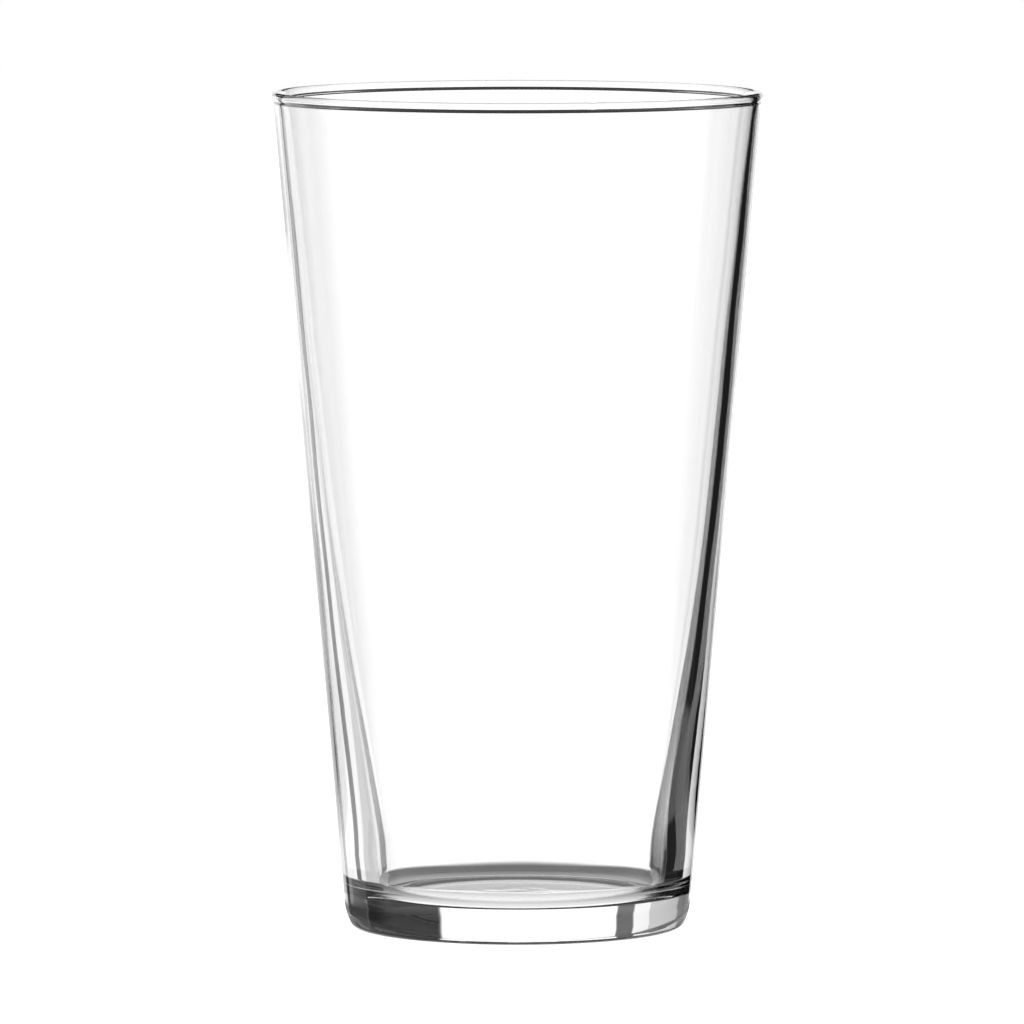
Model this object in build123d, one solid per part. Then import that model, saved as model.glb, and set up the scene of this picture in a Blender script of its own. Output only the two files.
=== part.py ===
"""Mixing glass: one heavy-based tumbler of clear glass, turned about +Z.

The origin is the centre of the circle that the glass stands on. The bead, wall, heel
and floor are one piece of glass, so they share one closed outline.
"""

import math
import os

from build123d import *

# Outside, in millimetres and degrees.
HEIGHT = 150.0
RIM_DIAMETER = 88.0          # across the rolled bead
FOOT_DIAMETER = 61.4         # where the line of the wall would meet the table
OUTSIDE_TAPER = 5.0          # each side

# Rolled bead at the rim.
BEAD_RADIUS = 0.95
BEAD_BLEND = 1.5             # hollow under the bead, outside and inside

# Heel, from the wall to the ring that the glass stands on.
HEEL_HEIGHT = 3.0            # where the line of the wall is turned in
HEEL_INSET = 1.0             # how far the heel has come in at the table
HEEL_SHOULDER_RADIUS = 12.0
HEEL_TOE_RADIUS = 1.6

# Underside: a standing ring around a shallow dish.
RING_INNER_RADIUS = 25.0
DISH_RISE = 0.8

# Inside: a thin straight wall above, which thickens into the heavy base.
WALL_AT_RIM = 1.35
INSIDE_TAPER = 6.0           # each side, down to the bend
BEND_TOP = 85.0              # where the inside leaves its straight line
BEND_KNEE = 42.0             # height at which that line stops steering the bend
BEND_FOOT = 24.0             # height at which the well's line starts to steer it
WELL_TOP = 14.0              # where the inside is straight again
WELL_RADIUS = 26.2           # inside radius there
WELL_TAPER = 5.7             # each side, down to the floor
FLOOR_HEIGHT = 6.1           # top of the floor above the table
FLOOR_CORNER_RADIUS = 4.0


def outside_radius(height):
    """Radius of the outer wall at a height."""
    return FOOT_DIAMETER / 2 + height * math.tan(math.radians(OUTSIDE_TAPER))


def inside_radius(height):
    """Radius of the straight upper part of the inner wall at a height."""
    rim_radius = outside_radius(HEIGHT) - WALL_AT_RIM
    return rim_radius - (HEIGHT - height) * math.tan(math.radians(INSIDE_TAPER))


def well_radius(height):
    """Radius of the well, the straight wall under the bend, at a height."""
    return WELL_RADIUS - (WELL_TOP - height) * math.tan(math.radians(WELL_TAPER))


def corner(sketch, radius, height):
    """The sketch's vertex nearest to a radius and height."""
    return sketch.vertices().sort_by_distance((radius, height, 0))[0]


def glass_outline():
    """Half section of the glass: radius along X, height along Y."""
    bead_radius_at = RIM_DIAMETER / 2 - BEAD_RADIUS
    bead_height = HEIGHT - BEAD_RADIUS
    foot_radius = outside_radius(0) - HEEL_INSET

    dish = ThreePointArc(
        (0, DISH_RISE),
        (RING_INNER_RADIUS / 2, DISH_RISE * 3 / 4),
        (RING_INNER_RADIUS, 0),
    )
    outside = Polyline(
        (RING_INNER_RADIUS, 0),
        (foot_radius, 0),
        (outside_radius(HEEL_HEIGHT), HEEL_HEIGHT),
        (outside_radius(bead_height), bead_height),
        (inside_radius(bead_height), bead_height),
        (inside_radius(BEND_TOP), BEND_TOP),
    )
    bend = Bezier(
        (inside_radius(BEND_TOP), BEND_TOP),
        (inside_radius(BEND_KNEE), BEND_KNEE),
        (well_radius(BEND_FOOT), BEND_FOOT),
        (well_radius(WELL_TOP), WELL_TOP),
    )
    floor = Polyline(
        (well_radius(WELL_TOP), WELL_TOP),
        (well_radius(FLOOR_HEIGHT), FLOOR_HEIGHT),
        (0, FLOOR_HEIGHT),
        (0, DISH_RISE),
    )
    section = make_face([dish, outside, bend, floor])

    toe = corner(section, foot_radius, 0)
    section = fillet(toe, HEEL_TOE_RADIUS)
    shoulder = corner(section, outside_radius(HEEL_HEIGHT), HEEL_HEIGHT)
    section = fillet(shoulder, HEEL_SHOULDER_RADIUS)
    floor_corner = corner(section, well_radius(FLOOR_HEIGHT), FLOOR_HEIGHT)
    section = fillet(floor_corner, FLOOR_CORNER_RADIUS)

    bead = Pos(bead_radius_at, bead_height) * Circle(BEAD_RADIUS)
    section = section + bead
    under_bead = bead_height - BEAD_RADIUS
    outer_hollow = corner(section, outside_radius(under_bead), under_bead)
    section = fillet(outer_hollow, BEAD_BLEND)
    inner_hollow = corner(section, inside_radius(under_bead), under_bead)
    return fillet(inner_hollow, BEAD_BLEND)


def glass_body():
    """The whole glass, turned from its half section."""
    section = Plane.XZ * glass_outline()
    return revolve(section, Axis.Z)


os.makedirs("parts", exist_ok=True)
body = glass_body()
body.label = "glass_body"
export_step(body, "parts/glass_body.step")
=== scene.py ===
"""Mixing glass: a clear, heavy-based bar glass and the small studio that shows it.

Run as a script inside Blender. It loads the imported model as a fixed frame, turns the
glass from its outline, and sets a pale floor, a tent of soft panels and a camera.
Lengths are in metres, +Z is up, and the glass stands on the origin.
"""

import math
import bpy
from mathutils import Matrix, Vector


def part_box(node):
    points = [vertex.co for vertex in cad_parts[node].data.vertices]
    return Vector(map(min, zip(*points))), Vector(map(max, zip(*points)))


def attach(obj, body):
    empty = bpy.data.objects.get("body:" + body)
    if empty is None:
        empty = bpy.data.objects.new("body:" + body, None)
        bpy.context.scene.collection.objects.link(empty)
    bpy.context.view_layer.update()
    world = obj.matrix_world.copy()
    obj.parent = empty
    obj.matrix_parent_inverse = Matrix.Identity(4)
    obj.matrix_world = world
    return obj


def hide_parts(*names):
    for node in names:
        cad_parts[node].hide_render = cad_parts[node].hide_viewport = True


bl_info = {
    "name": "Mixing Glass",
    "version": (1, 0, 0),
    "blender": (4, 5, 0),
    "location": "3D View > Sidebar > Mixing Glass",
    "description": "Makes a clear mixing glass and a plain studio around it",
    "category": "Object",
}

import bmesh
import bpy
from bpy.props import FloatProperty, FloatVectorProperty, IntProperty, PointerProperty
from mathutils import Vector, noise

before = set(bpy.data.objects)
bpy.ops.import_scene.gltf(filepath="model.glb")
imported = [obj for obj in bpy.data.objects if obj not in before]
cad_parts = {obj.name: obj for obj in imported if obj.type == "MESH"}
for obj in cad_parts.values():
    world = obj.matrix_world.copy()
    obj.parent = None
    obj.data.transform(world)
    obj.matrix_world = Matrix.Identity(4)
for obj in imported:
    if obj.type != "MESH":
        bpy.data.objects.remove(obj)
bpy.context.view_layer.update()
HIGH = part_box("glass_body")[1]

MM = 0.001


# ---------------------------------------------------------------------------
# Sizes and colours that a user would change
# ---------------------------------------------------------------------------


def length(name, description, default):
    """A length property, kept in metres and shown in the scene's units."""
    return FloatProperty(
        name=name,
        description=description,
        default=default,
        min=0.0,
        precision=4,
        unit="LENGTH",
        subtype="DISTANCE",
    )


def angle(name, description, degrees):
    """An angle property, given here in degrees."""
    return FloatProperty(
        name=name,
        description=description,
        default=math.radians(degrees),
        unit="ROTATION",
        subtype="ANGLE",
    )


class GlassSizes(bpy.types.PropertyGroup):
    """Sizes of the turned glass."""

    height: length("Height", "Table to the top of the bead", HIGH.z)
    rim_radius: length("Rim radius", "Outside of the rolled bead", HIGH.y)
    foot_radius: length("Foot radius", "Where the wall's line would meet the table", 30.7 * MM)
    outside_taper: angle("Outside taper", "Lean of the outer wall, each side", 5.0)
    bead_radius: length("Bead radius", "Half the thickness of the rolled bead", 0.95 * MM)
    bead_blend: length("Bead blend", "Hollow under the bead", 1.5 * MM)
    heel_height: length("Heel height", "Where the wall's line is turned in", 3.0 * MM)
    heel_inset: length("Heel inset", "How far the heel comes in", 1.0 * MM)
    shoulder_radius: length("Heel shoulder", "Upper round of the heel", 12.0 * MM)
    toe_radius: length("Heel toe", "Lower round of the heel", 1.6 * MM)
    ring_radius: length("Ring radius", "Inner edge of the standing ring", 25.0 * MM)
    dish_rise: length("Dish rise", "Rise of the underside at its middle", 0.8 * MM)
    wall_at_rim: length("Wall at rim", "Thickness of the wall at the rim", 1.35 * MM)
    inside_taper: angle("Inside taper", "Lean of the upper inner wall", 6.0)
    bend_top: length("Bend top", "Where the inner wall starts to thicken", 85.0 * MM)
    bend_knee: length("Bend knee", "Where the upper line stops steering", 42.0 * MM)
    bend_foot: length("Bend foot", "Where the well's line starts to steer", 24.0 * MM)
    well_top: length("Well top", "Where the inner wall is straight again", 14.0 * MM)
    well_radius: length("Well radius", "Inside radius at the top of the well", 26.2 * MM)
    well_taper: angle("Well taper", "Lean of the well's wall", 5.7)
    floor_height: length("Floor height", "Top of the glass floor", 6.1 * MM)
    corner_radius: length("Floor corner", "Round between wall and floor", 4.0 * MM)
    segments: IntProperty(
        name="Segments",
        description="Facets around the glass",
        default=320,
        min=48,
    )


class GlassLook(bpy.types.PropertyGroup):
    """Finish of the glass."""

    tint: FloatVectorProperty(
        name="Tint",
        description="Colour that the glass lets through",
        default=(1.0, 1.0, 1.0),
        min=0.0,
        max=1.0,
        size=3,
        subtype="COLOR",
    )
    refraction: FloatProperty(
        name="Refraction",
        description="Refractive index of soda-lime glass",
        default=1.52,
        min=1.0,
    )
    flow_scale: FloatProperty(
        name="Flow scale",
        description="How close the flow lines in the wall stand",
        default=110.0,
        min=0.0,
    )
    flow_depth: length("Flow depth", "How deep the flow lines are", 0.004 * MM)
    peel_scale: FloatProperty(
        name="Peel scale",
        description="How fine the orange peel of the surface is",
        default=420.0,
        min=0.0,
    )
    peel_depth: length("Peel depth", "How deep the orange peel is", 0.0006 * MM)
    scuffing: FloatProperty(
        name="Scuffing",
        description="Roughness of the worn standing ring",
        default=0.35,
        min=0.0,
        max=1.0,
    )


class StudioLook(bpy.types.PropertyGroup):
    """Floor, light and camera."""

    floor_colour: FloatVectorProperty(
        name="Floor colour",
        description="Colour of the plain floor",
        default=(0.9, 0.9, 0.9),
        min=0.0,
        max=1.0,
        size=3,
        subtype="COLOR",
    )
    tent_radius: length("Tent radius", "Radius of the light tent", 3.0)
    # The dark patch is a painted shadow: its reach, and the light it still gives.
    shade_radius: length("Shade radius", "Reach of the dark patch under the glass", 0.054)
    shade_brightness: FloatProperty(
        name="Shade brightness",
        description="Light that the dark patch still gives",
        default=0.09,
        min=0.0,
    )
    room_brightness: FloatProperty(
        name="Room brightness",
        description="Light from the room where no panel stands",
        default=0.25,
        min=0.0,
    )
    camera_distance: length("Camera distance", "From the axis of the glass", 1.9636)
    camera_height: length("Camera height", "Above the table", 0.2442)
    camera_pitch: angle("Camera pitch", "How far the camera looks down", 4.939)
    camera_aside: length("Camera aside", "How far the camera stands off centre", 0.00097)
    lens: FloatProperty(
        name="Lens",
        description="Focal length in millimetres on a 36 mm sensor",
        default=386.5,
        min=1.0,
    )


# ---------------------------------------------------------------------------
# Outline of the glass: radius and height of a half section
# ---------------------------------------------------------------------------

# How many steps each stretch of the outline has.
DISH_STEPS = 24
RING_STEPS = 6
HEEL_STEPS = 12
WALL_STEPS = 60
HOLLOW_STEPS = 10
BEAD_STEPS = 44
BEND_STEPS = 50
CORNER_STEPS = 20
FLOOR_STEPS = 30


def straight(start, end, steps):
    """Points from start to end, with the end left out."""
    return [start.lerp(end, i / steps) for i in range(steps)]


def arc(centre, radius, first, last, steps):
    """Points of an arc between two angles, both ends in."""
    points = []
    for i in range(steps + 1):
        turn = first + (last - first) * i / steps
        points.append(centre + radius * Vector((math.cos(turn), math.sin(turn))))
    return points


def rounded(before, corner, after, radius, steps):
    """Points of the arc that rounds a corner, both ends in."""
    to_before = (before - corner).normalized()
    to_after = (after - corner).normalized()
    half = to_before.angle(to_after) / 2
    middle = (to_before + to_after).normalized()
    centre = corner + middle * radius / math.sin(half)
    start = corner + to_before * radius / math.tan(half) - centre
    end = corner + to_after * radius / math.tan(half) - centre
    first = math.atan2(start.y, start.x)
    sweep = (math.atan2(end.y, end.x) - first + math.pi) % math.tau - math.pi
    return arc(centre, radius, first, first + sweep, steps)


def bend(a, b, c, d, steps):
    """Points of a cubic curve steered by b and c, with its start left out."""
    points = []
    for i in range(1, steps + 1):
        t = i / steps
        s = 1 - t
        points.append(a * s**3 + b * 3 * s * s * t + c * 3 * s * t * t + d * t**3)
    return points


class Outline:
    """The half section of the glass, worked out from its sizes."""

    def __init__(self, sizes):
        self.sizes = sizes

    def outside(self, height):
        """Radius of the outer wall at a height."""
        return self.sizes.foot_radius + height * math.tan(self.sizes.outside_taper)

    def inside(self, height):
        """Radius of the straight upper part of the inner wall at a height."""
        s = self.sizes
        rim = self.outside(s.height) - s.wall_at_rim
        return rim - (s.height - height) * math.tan(s.inside_taper)

    def well(self, height):
        """Radius of the straight wall under the bend at a height."""
        s = self.sizes
        return s.well_radius - (s.well_top - height) * math.tan(s.well_taper)

    def at(self, wall, height):
        """The point of a wall at a height."""
        return Vector((wall(height), height))

    def underside(self):
        """Shallow dish, from the middle to the standing ring."""
        s = self.sizes
        sphere = (s.ring_radius**2 + s.dish_rise**2) / (2 * s.dish_rise)
        points = []
        for i in range(DISH_STEPS):
            radius = s.ring_radius * i / DISH_STEPS
            sag = sphere - math.sqrt(sphere**2 - radius**2)
            points.append(Vector((radius, s.dish_rise - sag)))
        return points

    def heel(self):
        """Standing ring and the two rounds of the heel."""
        s = self.sizes
        ring = Vector((s.ring_radius, 0.0))
        foot = Vector((self.outside(0.0) - s.heel_inset, 0.0))
        turn = self.at(self.outside, s.heel_height)
        wall = self.at(self.outside, s.height)
        toe = rounded(ring, foot, turn, s.toe_radius, HEEL_STEPS)
        shoulder = rounded(foot, turn, wall, s.shoulder_radius, HEEL_STEPS)
        return straight(ring, toe[0], RING_STEPS) + toe + shoulder

    def hollow(self, centre, wall, lean, side):
        """Hollow that runs a wall into the bead: its centre, and the turns to both."""
        s = self.sizes
        away = side * Vector((math.cos(lean), -math.sin(lean)))
        along = Vector((math.sin(lean), math.cos(lean)))
        depth = (centre - self.at(wall, centre.y)).dot(away)
        across = s.bead_blend - depth
        reach = math.sqrt((s.bead_radius + s.bead_blend) ** 2 - across**2)
        middle = centre + away * across - along * reach
        to_bead = centre - middle
        return middle, math.atan2(-away.y, -away.x), math.atan2(to_bead.y, to_bead.x)

    def bead(self):
        """Bead with the hollows under it, from the outer wall over to the inner one."""
        s = self.sizes
        centre = Vector((s.rim_radius - s.bead_radius, s.height - s.bead_radius))
        outer, outer_wall, outer_bead = self.hollow(centre, self.outside, s.outside_taper, 1)
        inner, inner_wall, inner_bead = self.hollow(centre, self.inside, s.inside_taper, -1)
        first = outer_bead - math.pi
        last = inner_bead + math.pi
        up = arc(outer, s.bead_blend, outer_wall, outer_bead, HOLLOW_STEPS)
        over = arc(centre, s.bead_radius, first, last, BEAD_STEPS)
        down = arc(inner, s.bead_blend, inner_bead, inner_wall, HOLLOW_STEPS)
        return up + over[1:] + down[1:]

    def points(self):
        """The whole outline, with the part of the glass that each point is on."""
        s = self.sizes
        heel = self.heel()
        bead = self.bead()
        bend_top = self.at(self.inside, s.bend_top)
        knee = self.at(self.inside, s.bend_knee)
        bend_foot = self.at(self.well, s.bend_foot)
        well_top = self.at(self.well, s.well_top)
        corner = self.at(self.well, s.floor_height)
        middle = Vector((0.0, s.floor_height))
        round_in = rounded(well_top, corner, middle, s.corner_radius, CORNER_STEPS)
        named = (
            ("under", self.underside()),
            ("heel", heel),
            ("outside", straight(heel[-1], bead[0], WALL_STEPS)[1:]),
            ("bead", bead),
            ("inside", straight(bead[-1], bend_top, WALL_STEPS)[1:]),
            ("inside", [bend_top]),
            ("inside", bend(bend_top, knee, bend_foot, well_top, BEND_STEPS)),
            ("corner", round_in),
            ("floor", straight(round_in[-1], middle, FLOOR_STEPS)[1:]),
            ("floor", [middle]),
        )
        return [(part, point) for part, points in named for point in points]


# ---------------------------------------------------------------------------
# Small unevenness that hot-formed glass keeps
# ---------------------------------------------------------------------------

# How deep each mark is.
BORE_ASIDE = 0.35 * MM
WALL_WAVE = 0.035 * MM
WALL_RIPPLE = 0.012 * MM
FLOOR_SWIRL = 0.05 * MM
UNDER_WAVE = 0.03 * MM
BEAD_RIPPLE = 0.03 * MM
BEAD_NICK = 0.10 * MM
BEAD_WAVE = 0.04 * MM

# Where the bead is marked, as turns about +Z in radians from +X.
RIPPLE_START = 5.03
RIPPLE_END = 5.52
RIPPLE_FADE = 0.1
RIPPLE_TICKS = 210
NICK_TURN = 5.02
NICK_WIDTH = 0.012

# Radial pitch of the lap marks in the floor.
SWIRL_PITCH = 1.1 * MM


def between(value, low, high):
    """0 at low and 1 at high, straight between and held beyond."""
    return min(1.0, max(0.0, (value - low) / (high - low)))


def drift(turn, height, bands, rows):
    """Slow waviness round and up the glass, from -1 to 1, the same at every run."""
    place = Vector((bands * math.cos(turn), bands * math.sin(turn), rows * height))
    return noise.noise(place)


def swirl(radius, turn):
    """Lap marks that the gather leaves in the middle of the floor, from 0 to 1."""
    reach = between(radius, 0.0, 4 * MM) * (1 - between(radius, 7 * MM, 13 * MM))
    wander = 2.0 * drift(turn, radius, 1.2, 260.0)
    arm = math.sin(2 * turn + radius / SWIRL_PITCH + wander)
    return reach * (0.5 + 0.5 * arm)


def ripple(turn):
    """Fine ticks along one stretch of the bead, from 0 to 1."""
    rise = between(turn, RIPPLE_START, RIPPLE_START + RIPPLE_FADE)
    fall = between(turn, RIPPLE_END, RIPPLE_END - RIPPLE_FADE)
    wander = 3.0 * drift(turn, 0.0, 9.0, 0.0)
    return rise * fall * (0.5 + 0.5 * math.sin(turn * RIPPLE_TICKS + wander))


def nick(turn):
    """A tiny dent in the bead, from 0 to 1."""
    return math.exp(-(((turn - NICK_TURN) / NICK_WIDTH) ** 2))


def hand_of_the_mould(part, point, turn):
    """Shift of a surface point, along radius and height, in metres."""
    radius, height = point
    outwards = 0.0
    upwards = 0.0
    if part in ("inside", "corner"):
        # The plunger that pressed the bore stood a little off centre at its tip.
        ramp = between(height, 100 * MM, 40 * MM)
        outwards += BORE_ASIDE * ramp * math.cos(turn)
    if part == "inside":
        body = between(height, 12 * MM, 22 * MM) * between(height, 146 * MM, 130 * MM)
        outwards += WALL_WAVE * body * drift(turn, height, 1.6, 55.0)
        outwards += WALL_RIPPLE * body * drift(turn, height, 6.0, 25.0)
    if part == "floor":
        upwards -= FLOOR_SWIRL * swirl(radius, turn)
    if part == "under":
        dish = between(radius, 25 * MM, 20 * MM)
        upwards += UNDER_WAVE * dish * drift(turn, radius, 2.0, 90.0)
    if part == "bead":
        lip = between(height, 148.3 * MM, 149.0 * MM)
        upwards -= lip * (BEAD_RIPPLE * ripple(turn) + BEAD_NICK * nick(turn))
        upwards -= lip * BEAD_WAVE * between(drift(turn, 0.0, 2.5, 0.0), -1, 1)
    return outwards, upwards


# Nearer to the axis than this, a point is on it.
ON_AXIS = 1e-7


def turned(name, outline, segments):
    """A closed mesh turned about +Z from an outline that starts and ends on the axis."""
    mesh = bmesh.new()
    rings = []
    for part, point in outline:
        if point.x < ON_AXIS:
            rings.append([mesh.verts.new((0.0, 0.0, point.y))])
            continue
        ring = []
        for j in range(segments):
            turn = math.tau * j / segments
            outwards, upwards = hand_of_the_mould(part, point, turn)
            radius = point.x + outwards
            across = (radius * math.cos(turn), radius * math.sin(turn))
            ring.append(mesh.verts.new((*across, point.y + upwards)))
        rings.append(ring)
    for lower, upper in zip(rings, rings[1:]):
        for j in range(segments):
            k = (j + 1) % segments
            if len(lower) == 1:
                mesh.faces.new((lower[0], upper[k], upper[j]))
            elif len(upper) == 1:
                mesh.faces.new((lower[j], lower[k], upper[0]))
            else:
                mesh.faces.new((lower[j], lower[k], upper[k], upper[j]))
    bmesh.ops.recalc_face_normals(mesh, faces=mesh.faces)
    data = bpy.data.meshes.new(name)
    mesh.to_mesh(data)
    mesh.free()
    data.shade_smooth()
    piece = bpy.data.objects.new(name, data)
    bpy.context.scene.collection.objects.link(piece)
    return piece


# ---------------------------------------------------------------------------
# Materials
# ---------------------------------------------------------------------------


def calculate(nodes, links, operation, *values):
    """A Math node's result, from numbers or sockets."""
    node = nodes.new("ShaderNodeMath")
    node.operation = operation
    for socket, value in zip(node.inputs, values):
        if isinstance(value, (int, float)):
            socket.default_value = value
        else:
            links.new(value, socket)
    return node.outputs[0]


def soft_step(nodes, links, value, low, high):
    """0 below low and 1 above high, smooth between."""
    node = nodes.new("ShaderNodeMapRange")
    node.interpolation_type = "SMOOTHSTEP"
    links.new(value, node.inputs["Value"])
    node.inputs["From Min"].default_value = low
    node.inputs["From Max"].default_value = high
    return node.outputs["Result"]


def cloudy(nodes, links, place, scale, detail):
    """A Noise texture's value over the surface."""
    node = nodes.new("ShaderNodeTexNoise")
    node.inputs["Scale"].default_value = scale
    node.inputs["Detail"].default_value = detail
    links.new(place, node.inputs["Vector"])
    return node.outputs["Fac"]


def surface_bump(nodes, links, height, depth, under):
    """A Bump node's normal, on top of another one."""
    node = nodes.new("ShaderNodeBump")
    node.inputs["Strength"].default_value = 1.0
    node.inputs["Distance"].default_value = depth
    links.new(height, node.inputs["Height"])
    if under:
        links.new(under, node.inputs["Normal"])
    return node.outputs["Normal"]


# How much slower the flow lines change up the wall than round it.
FLOW_STRETCH = 0.12

# Height at which the scuffing of the standing ring has faded, and is whole.
SCUFF_END = 0.35 * MM
SCUFF_FULL = 0.05 * MM
SCRATCH_SCALE = 900.0


def glass_material(look):
    """Clear polished soda-lime glass, with flow lines, orange peel and a scuffed foot."""
    material = bpy.data.materials.new("clear_glass")
    material.use_nodes = True
    nodes = material.node_tree.nodes
    links = material.node_tree.links
    shader = nodes["Principled BSDF"]
    shader.inputs["Base Color"].default_value = (*look.tint, 1.0)
    shader.inputs["Metallic"].default_value = 0.0
    shader.inputs["IOR"].default_value = look.refraction
    shader.inputs["Transmission Weight"].default_value = 1.0
    place = nodes.new("ShaderNodeTexCoord").outputs["Object"]

    # Flow lines run up the wall, so they are fine round it and long up it.
    stretch = nodes.new("ShaderNodeVectorMath")
    stretch.operation = "MULTIPLY"
    stretch.inputs[1].default_value = (1.0, 1.0, FLOW_STRETCH)
    links.new(place, stretch.inputs[0])
    flow = cloudy(nodes, links, stretch.outputs[0], look.flow_scale, 2.0)
    peel = cloudy(nodes, links, place, look.peel_scale, 3.0)
    bump = surface_bump(nodes, links, flow, look.flow_depth, None)
    bump = surface_bump(nodes, links, peel, look.peel_depth, bump)
    links.new(bump, shader.inputs["Normal"])

    # The ring that it stands on is scuffed by every table it has met.
    split = nodes.new("ShaderNodeSeparateXYZ")
    links.new(place, split.inputs[0])
    ring = soft_step(nodes, links, split.outputs["Z"], SCUFF_END, SCUFF_FULL)
    scratches = cloudy(nodes, links, place, SCRATCH_SCALE, 4.0)
    worn = calculate(nodes, links, "MULTIPLY", ring, scratches)
    worn = calculate(nodes, links, "MULTIPLY", worn, look.scuffing)
    links.new(worn, shader.inputs["Roughness"])
    return material


def floor_material(look):
    """Plain pale matt floor."""
    material = bpy.data.materials.new("pale_floor")
    material.use_nodes = True
    shader = material.node_tree.nodes["Principled BSDF"]
    shader.inputs["Base Color"].default_value = (*look.floor_colour, 1.0)
    shader.inputs["Roughness"].default_value = 1.0
    shader.inputs["Specular IOR Level"].default_value = 0.0
    return material


# ---------------------------------------------------------------------------
# Studio
# ---------------------------------------------------------------------------

WHITE = (1.0, 1.0, 1.0, 1.0)
FLOOR_HALF_WIDTH = 3.0

# The floor and the painted shadow lie this far under the glass, so that nothing touches.
FLOOR_DROP = 0.02 * MM
SHADE_DROP = 0.3 * MM

# Ring of the painted shadow, as shares of its reach: its faded edges and its full ones.
SHADE_RING = (0.35, 0.70, 0.8, 1.0)

OVERHEAD_SPREAD = math.radians(60.0)
OVERHEAD_STRENGTH = 3.0

# Light passes this many surfaces of the glass before it is given up.
BOUNCES = 24

# Soft panels and dark cards of the light tent. Each is a patch of its wall: degrees
# round to the right from straight behind the glass, degrees up from its middle, how
# bright it is, and how soft its edges are. A later one covers an earlier one, and one
# that reaches the end of a scale has no edge there.
TENT = (
    ("ceiling", -180, 180, 10, 91, 0.1, 3.0),
    ("table", -180, 180, -91, -20, 0.9, 3.0),
    ("backdrop", -25.3, 18.5, -40, 10, 1.17, 0.5),
    ("above backdrop", -34, 34, 10, 40, 0.005, 1.5),
    ("left gap", -32, -25.3, -20, 10, 0.13, 0.5),
    ("left gap below", -31.5, -24.3, -24, -9, 0.13, 0.5),
    ("left strip", -39, -31.5, -20, 10, 1.0, 0.5),
    ("left softbox", -60, -39, -20, 10, 0.66, 0.5),
    ("left room", -74, -60, -20, 10, 0.3, 2.0),
    ("left window", -180, -76, -22, 11, 1.05, 9.0),
    ("right window", 78, 180, -22, 11, 1.05, 9.0),
    ("back window", 116, 154, -40, 14, 1.05, 9.0),
    ("right card", 18.5, 50, -24, 32, 0.012, 1.0),
    ("right far card", 50, 74, -16, 32, 0.05, 1.0),
)


def tent_material(look):
    """Soft panels and dark cards, by their place on the tent's wall."""
    material = bpy.data.materials.new("tent_panels")
    material.use_nodes = True
    material.cycles.emission_sampling = "NONE"
    nodes = material.node_tree.nodes
    links = material.node_tree.links
    nodes.clear()
    place = nodes.new("ShaderNodeTexCoord")
    direction = nodes.new("ShaderNodeVectorMath")
    direction.operation = "NORMALIZE"
    links.new(place.outputs["Object"], direction.inputs[0])
    split = nodes.new("ShaderNodeSeparateXYZ")
    links.new(direction.outputs[0], split.inputs[0])
    degrees = 180 / math.pi
    turn = calculate(nodes, links, "ARCTAN2", split.outputs["X"], split.outputs["Y"])
    turn = calculate(nodes, links, "MULTIPLY", turn, degrees)
    rise = calculate(nodes, links, "ARCSINE", split.outputs["Z"])
    rise = calculate(nodes, links, "MULTIPLY", rise, degrees)
    light = look.room_brightness
    for name, left, right, bottom, top, brightness, softness in TENT:
        mask = 1.0
        for value, low, high, end in ((turn, left, right, 180), (rise, bottom, top, 90)):
            if low > -end:
                step = soft_step(nodes, links, value, low - softness, low + softness)
                mask = calculate(nodes, links, "MULTIPLY", mask, step)
            if high < end:
                step = soft_step(nodes, links, value, high + softness, high - softness)
                mask = calculate(nodes, links, "MULTIPLY", mask, step)
        mix = nodes.new("ShaderNodeMix")
        mix.label = name
        links.new(mask, mix.inputs["Factor"])
        if isinstance(light, float):
            mix.inputs["A"].default_value = light
        else:
            links.new(light, mix.inputs["A"])
        mix.inputs["B"].default_value = brightness
        light = mix.outputs["Result"]
    glow = nodes.new("ShaderNodeEmission")
    links.new(light, glow.inputs["Strength"])
    out = nodes.new("ShaderNodeOutputMaterial")
    links.new(glow.outputs[0], out.inputs["Surface"])
    return material


def light_tent(look):
    """Round tent about the glass, whose wall only the glass sees."""
    mesh = bmesh.new()
    bmesh.ops.create_uvsphere(mesh, u_segments=96, v_segments=48, radius=look.tent_radius)
    data = bpy.data.meshes.new("light_tent")
    mesh.to_mesh(data)
    mesh.free()
    data.materials.append(tent_material(look))
    tent = bpy.data.objects.new("light_tent", data)
    tent.location.z = HIGH.z / 2
    tent.visible_camera = False
    tent.visible_diffuse = False
    tent.visible_shadow = False
    bpy.context.scene.collection.objects.link(tent)


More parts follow.
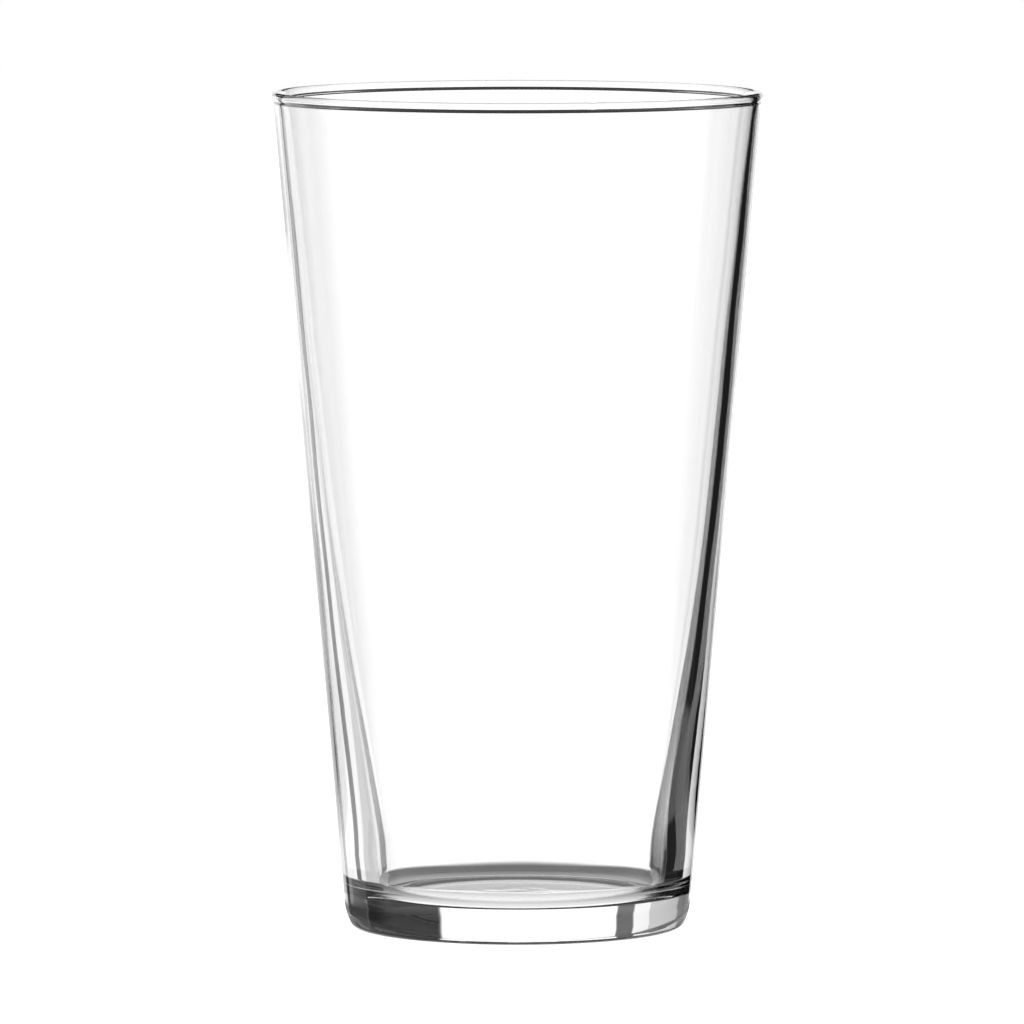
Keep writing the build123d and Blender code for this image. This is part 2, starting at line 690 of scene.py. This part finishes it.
def painted_shadow_under_glass(look):
    """Painted shadow: a soft dark ring on the table, seen through the glass, in place of the
    shade that the heavy base casts.
    """
    material = bpy.data.materials.new("shade")
    material.use_nodes = True
    material.cycles.emission_sampling = "NONE"
    nodes = material.node_tree.nodes
    links = material.node_tree.links
    nodes.clear()
    place = nodes.new("ShaderNodeTexCoord")
    reach = nodes.new("ShaderNodeVectorMath")
    reach.operation = "LENGTH"
    links.new(place.outputs["Object"], reach.inputs[0])
    distance = reach.outputs["Value"]
    ring = [share * look.shade_radius for share in SHADE_RING]
    inner = soft_step(nodes, links, distance, ring[0], ring[1])
    outer = soft_step(nodes, links, distance, ring[3], ring[2])
    edge = calculate(nodes, links, "MULTIPLY", outer, inner)
    glow = nodes.new("ShaderNodeEmission")
    glow.inputs["Strength"].default_value = look.shade_brightness
    clear = nodes.new("ShaderNodeBsdfTransparent")
    mix = nodes.new("ShaderNodeMixShader")
    links.new(edge, mix.inputs["Fac"])
    links.new(clear.outputs[0], mix.inputs[1])
    links.new(glow.outputs[0], mix.inputs[2])
    out = nodes.new("ShaderNodeOutputMaterial")
    links.new(mix.outputs[0], out.inputs["Surface"])
    mesh = bmesh.new()
    bmesh.ops.create_circle(mesh, cap_ends=True, segments=96, radius=look.shade_radius)
    data = bpy.data.meshes.new("shade")
    mesh.to_mesh(data)
    mesh.free()
    data.materials.append(material)
    shade = bpy.data.objects.new("shade", data)
    shade.location.z = -SHADE_DROP
    shade.visible_camera = False
    shade.visible_diffuse = False
    shade.visible_shadow = False
    bpy.context.scene.collection.objects.link(shade)


def studio_world():
    """Plain white room, for the floor and for what is seen past the glass."""
    world = bpy.data.worlds.new("studio")
    world.use_nodes = True
    background = world.node_tree.nodes["Background"]
    background.inputs["Color"].default_value = WHITE
    bpy.context.scene.world = world


def pale_floor(look):
    """Plain floor that the glass stands on."""
    mesh = bmesh.new()
    bmesh.ops.create_grid(mesh, x_segments=8, y_segments=8, size=FLOOR_HALF_WIDTH)
    data = bpy.data.meshes.new("floor")
    mesh.to_mesh(data)
    mesh.free()
    data.materials.append(floor_material(look))
    floor = bpy.data.objects.new("floor", data)
    floor.location.z = -FLOOR_DROP
    bpy.context.scene.collection.objects.link(floor)
    floor.visible_transmission = False
    floor.visible_glossy = False


def overhead_light():
    """Wide soft light from straight above, for the floor alone."""
    lamp = bpy.data.lights.new("overhead_light", "SUN")
    lamp.angle = OVERHEAD_SPREAD
    lamp.energy = OVERHEAD_STRENGTH
    overhead = bpy.data.objects.new("overhead_light", lamp)
    overhead.visible_glossy = False
    overhead.visible_transmission = False
    bpy.context.scene.collection.objects.link(overhead)


def studio_camera(look):
    """Camera on a long lens, a little above the glass."""
    data = bpy.data.cameras.new("camera")
    data.sensor_width = 36.0
    data.lens = look.lens
    data.clip_start = 0.01
    camera = bpy.data.objects.new("camera", data)
    camera.location = (-look.camera_aside, -look.camera_distance, look.camera_height)
    camera.rotation_euler = (math.pi / 2 - look.camera_pitch, 0.0, 0.0)
    bpy.context.scene.collection.objects.link(camera)
    bpy.context.scene.camera = camera


# ---------------------------------------------------------------------------
# Operators and panel
# ---------------------------------------------------------------------------


class MIXINGGLASS_OT_body(bpy.types.Operator):
    """Turn the glass and give it its finish"""

    bl_idname = "mixing_glass.body"
    bl_label = "Glass body"

    def execute(self, context):
        sizes = context.scene.glass_sizes
        piece = turned("mixing_glass", Outline(sizes).points(), sizes.segments)
        piece.data.materials.append(glass_material(context.scene.glass_look))
        # The glass casts no real shadow; the painted shadow under it stands in for one.
        piece.visible_shadow = False
        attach(piece, "root")
        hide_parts("glass_body")
        return {"FINISHED"}


class MIXINGGLASS_OT_studio(bpy.types.Operator):
    """Set the floor, the light and the camera"""

    bl_idname = "mixing_glass.studio"
    bl_label = "Studio"

    def execute(self, context):
        look = context.scene.studio_look
        studio_world()
        light_tent(look)
        painted_shadow_under_glass(look)
        pale_floor(look)
        overhead_light()
        studio_camera(look)
        context.scene.view_settings.view_transform = "Standard"
        context.scene.cycles.max_bounces = BOUNCES
        context.scene.cycles.transmission_bounces = BOUNCES
        return {"FINISHED"}


class MIXINGGLASS_PT_panel(bpy.types.Panel):
    """Sidebar panel that makes the glass and its studio"""

    bl_idname = "MIXINGGLASS_PT_panel"
    bl_label = "Mixing Glass"
    bl_space_type = "VIEW_3D"
    bl_region_type = "UI"
    bl_category = "Mixing Glass"

    def draw(self, context):
        layout = self.layout
        for step in STEPS:
            layout.operator(step.bl_idname)
        for group_name in GROUPS:
            group = getattr(context.scene, group_name)
            for name in group.bl_rna.properties.keys():
                if name not in ("rna_type", "name"):
                    layout.prop(group, name)


STEPS = (MIXINGGLASS_OT_body, MIXINGGLASS_OT_studio)
GROUPS = {
    "glass_sizes": GlassSizes,
    "glass_look": GlassLook,
    "studio_look": StudioLook,
}
CLASSES = (*GROUPS.values(), *STEPS, MIXINGGLASS_PT_panel)


def register():
    for item in CLASSES:
        bpy.utils.register_class(item)
    for name, group in GROUPS.items():
        setattr(bpy.types.Scene, name, PointerProperty(type=group))


def unregister():
    for name in GROUPS:
        delattr(bpy.types.Scene, name)
    for item in reversed(CLASSES):
        bpy.utils.unregister_class(item)


def main():
    register()
    bpy.ops.mixing_glass.body()
    bpy.ops.mixing_glass.studio()


if __name__ == "__main__":
    main()
